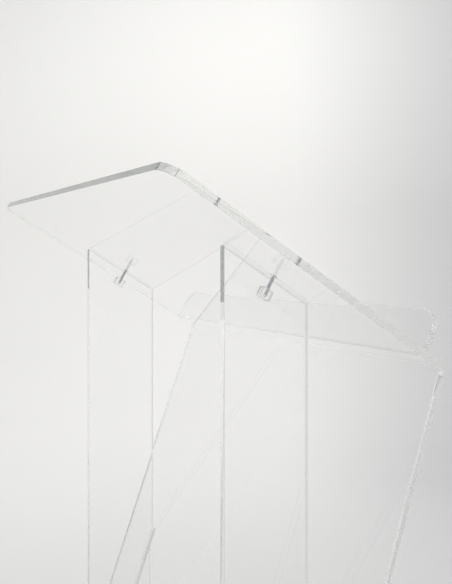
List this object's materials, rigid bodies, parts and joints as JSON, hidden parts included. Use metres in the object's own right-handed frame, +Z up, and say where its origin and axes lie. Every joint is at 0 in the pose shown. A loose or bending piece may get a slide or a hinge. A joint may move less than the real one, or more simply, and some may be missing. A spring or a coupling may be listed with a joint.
{
  "type": "magazine rack",
  "caption": "Clear acrylic floor-standing magazine rack: a sloping reading desk with a lip, on a leg and base bent from the same sheet, and on upright strips.",
  "frame": {"origin": "on the floor, under the centre of the rack's bounding box", "axes": "+Z up, -Y towards the reader, who stands at the desk's low edge, +X to the reader's right"},
  "size_m": [0.55, 0.3168, 1.05],
  "materials": {
    "clear_acrylic": "clear cast sheet, polished edges",
    "stainless_steel": "plain stainless steel",
    "clear_silicone": "soft, clear, slightly cloudy"
  },
  "bodies": {
    "root": {"rack_sheet": "clear_acrylic", "magazine_lip": "clear_acrylic", "upright_left": "clear_acrylic", "upright_right": "clear_acrylic", "fixing_block_top_left": "clear_acrylic", "fixing_block_top_right": "clear_acrylic", "fixing_block_bottom_left": "clear_acrylic", "fixing_block_bottom_right": "clear_acrylic", "screw_top_left": "stainless_steel", "screw_top_right": "stainless_steel", "screw_bottom_left": "stainless_steel", "screw_bottom_right": "stainless_steel", "foot_front_left": "clear_silicone", "foot_front_right": "clear_silicone", "foot_back_left": "clear_silicone", "foot_back_right": "clear_silicone"}
  },
  "joints": []
}
